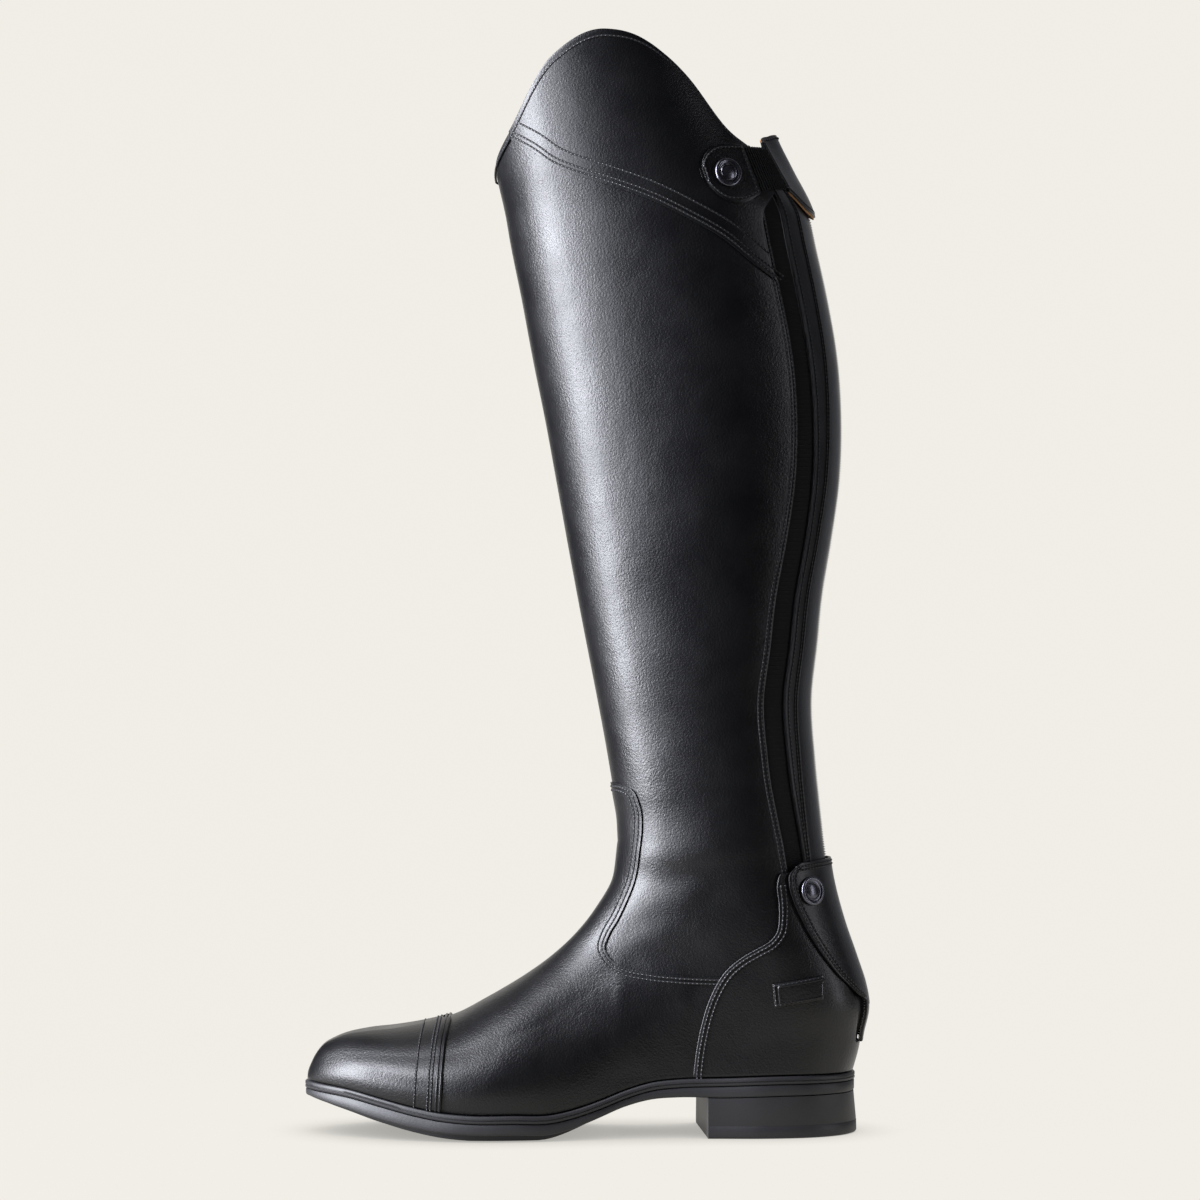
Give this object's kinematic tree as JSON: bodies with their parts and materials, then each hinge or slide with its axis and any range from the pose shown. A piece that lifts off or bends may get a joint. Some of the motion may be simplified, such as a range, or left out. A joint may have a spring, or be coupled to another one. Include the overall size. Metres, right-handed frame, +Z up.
{
  "type": "dress riding boot",
  "caption": "Tall left riding boot: hollow leather shaft with high curved outer top, rear zip and elastic gusset, snap strap, heel counter, zip guard flap, spur rest, welted sole and low heel.",
  "frame": {"origin": "centre of the heel's bottom face, on the floor", "axes": "+Z up the leg, -X towards the toe, -Y towards the outer side"},
  "size_m": [0.2708, 0.1069, 0.5218],
  "materials": {
    "leather": "semi-gloss fine grain",
    "elastic": "ribbed matte",
    "zip_metal": "coil zip",
    "button_metal": "black, satin",
    "rubber": "satin",
    "insole_leather": "plain"
  },
  "bodies": {
    "root": {"upper": "leather", "toe_cap": "leather", "heel_counter": "leather", "spur_rest": "leather", "zip_placket": "leather", "zip_strip_outer": "leather", "zip_strip_inner": "leather", "heel_guard": "leather", "strap_tab": "leather", "strap_wrap": "leather", "elastic_gusset": "elastic", "strap_elastic": "elastic", "zip": "zip_metal", "guard_button": "button_metal", "strap_button": "button_metal", "welt": "rubber", "outsole": "rubber", "heel": "rubber", "insole": "insole_leather"}
  },
  "joints": []
}
